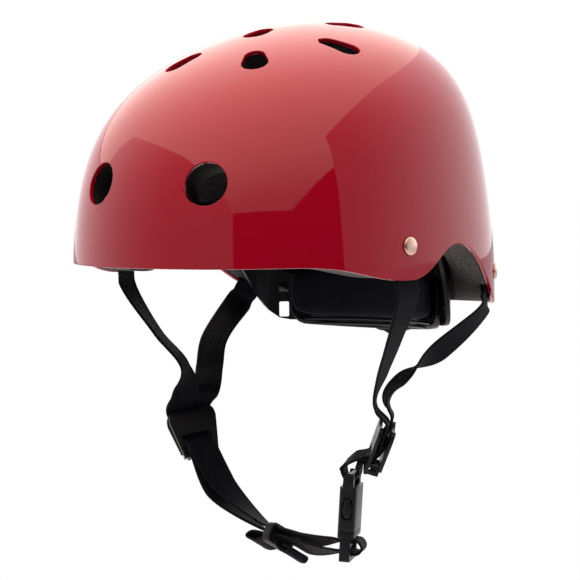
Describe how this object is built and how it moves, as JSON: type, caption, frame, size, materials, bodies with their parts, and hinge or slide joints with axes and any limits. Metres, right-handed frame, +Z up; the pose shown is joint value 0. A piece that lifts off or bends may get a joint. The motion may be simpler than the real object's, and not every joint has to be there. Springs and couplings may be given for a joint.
{
  "type": "skate helmet",
  "caption": "Hard-shell skate helmet with a gloss shell, foam liner, riveted webbing harness with locking dividers and side-release buckle, and a rear cradle tightened by a dial.",
  "frame": {"origin": "underside of the crown pad, where the top of the head rests, on the middle plane", "axes": "+Z up, -Y towards the brow, +X towards the wearer's left"},
  "size_m": [0.1976, 0.2456, 0.2869],
  "materials": {
    "gloss_shell": "high gloss lacquer",
    "foam": "beaded foam skin",
    "pad_cloth": "brushed knit",
    "cradle_cloth": "brushed knit",
    "webbing": "plain-woven webbing",
    "satin_plastic": "satin moulded",
    "frame_plastic": "gloss moulded",
    "knob_plastic": "soft touch",
    "keeper_rubber": "satin elastic",
    "rivet_metal": "polished copper-toned plating",
    "washer_metal": "plain"
  },
  "bodies": {
    "helmet": {"shell": "gloss_shell", "liner": "foam", "brow_pad": "pad_cloth", "crown_pad": "pad_cloth", "left_temple_pad": "pad_cloth", "right_temple_pad": "pad_cloth", "left_nape_pad": "pad_cloth", "right_nape_pad": "pad_cloth", "left_front_rivet": "rivet_metal", "right_front_rivet": "rivet_metal", "left_rear_rivet": "rivet_metal", "right_rear_rivet": "rivet_metal", "left_front_washer": "washer_metal", "right_front_washer": "washer_metal", "left_rear_washer": "washer_metal", "right_rear_washer": "washer_metal", "left_webbing": "webbing", "chin_webbing": "webbing", "right_rear_webbing": "webbing", "left_divider": "satin_plastic", "right_divider": "satin_plastic", "buckle_socket": "satin_plastic"},
    "left_lever": {"left_divider_lever": "satin_plastic"},
    "right_lever": {"right_divider_lever": "satin_plastic"},
    "plug": {"buckle_prong": "satin_plastic", "buckle_rear_arm": "satin_plastic", "buckle_front_arm": "satin_plastic"},
    "keeper": {"strap_keeper": "keeper_rubber"},
    "studs": {"left_stud": "satin_plastic", "right_stud": "satin_plastic"},
    "cradle": {"cradle_frame": "frame_plastic", "cradle_pad": "cradle_cloth", "cradle_cover": "frame_plastic"},
    "left_side_arm": {"left_arm": "satin_plastic"},
    "right_side_arm": {"right_arm": "satin_plastic"},
    "dial": {"dial_pinion": "satin_plastic", "dial_knob": "knob_plastic"}
  },
  "joints": [
    {"name": "cradle_tilt", "type": "hinge", "parent": "helmet", "child": "studs", "pos_m": [0, 0.002, -0.0829], "axis": [1, 0, 0], "range_deg": [-10, 1.5]},
    {"name": "cradle_slide", "type": "slide", "parent": "studs", "child": "cradle", "axis": [0, 1, 0], "range_m": [-0.0062, 0.0014]},
    {"name": "dial_turn", "type": "hinge", "parent": "cradle", "child": "dial", "pos_m": [0, 0.06, -0.1259], "axis": [0, 1, 0], "range_deg": [-64, 18]},
    {"name": "left_rack", "type": "hinge", "parent": "cradle", "child": "left_side_arm", "pos_m": [0, -0.026, -0.1179], "axis": [0, 0, 1], "range_deg": [-1.5, 5.5]},
    {"name": "right_rack", "type": "hinge", "parent": "cradle", "child": "right_side_arm", "pos_m": [0, -0.026, -0.1179], "axis": [0, 0, 1], "range_deg": [-5.5, 1.5]},
    {"name": "left_lever_hinge", "type": "hinge", "parent": "helmet", "child": "left_lever", "pos_m": [0.05773, -0.03389, -0.20554], "axis": [-0.5736, 0.8027, 0.1632], "range_deg": [0, 95]},
    {"name": "right_lever_hinge", "type": "hinge", "parent": "helmet", "child": "right_lever", "pos_m": [-0.05773, -0.03389, -0.20554], "axis": [-0.5736, -0.8027, -0.1632], "range_deg": [0, 95]},
    {"name": "buckle_release", "type": "slide", "parent": "helmet", "child": "plug", "axis": [-0.0622, -0.0317, -0.9976], "range_m": [0, 0.025], "deforming": ["buckle_rear_arm", "buckle_front_arm", "chin_webbing"]},
    {"name": "keeper_slide", "type": "slide", "parent": "helmet", "child": "keeper", "axis": [0.9912, -0.1289, 0.0297], "range_m": [-0.001, 0.004]}
  ],
  "couplings": [
    {"joint": "left_rack", "follows": "cradle_slide", "rad_per_m": -14.044},
    {"joint": "right_rack", "follows": "cradle_slide", "rad_per_m": 14.044},
    {"joint": "dial_turn", "follows": "cradle_slide", "rad_per_m": 165.41}
  ]
}
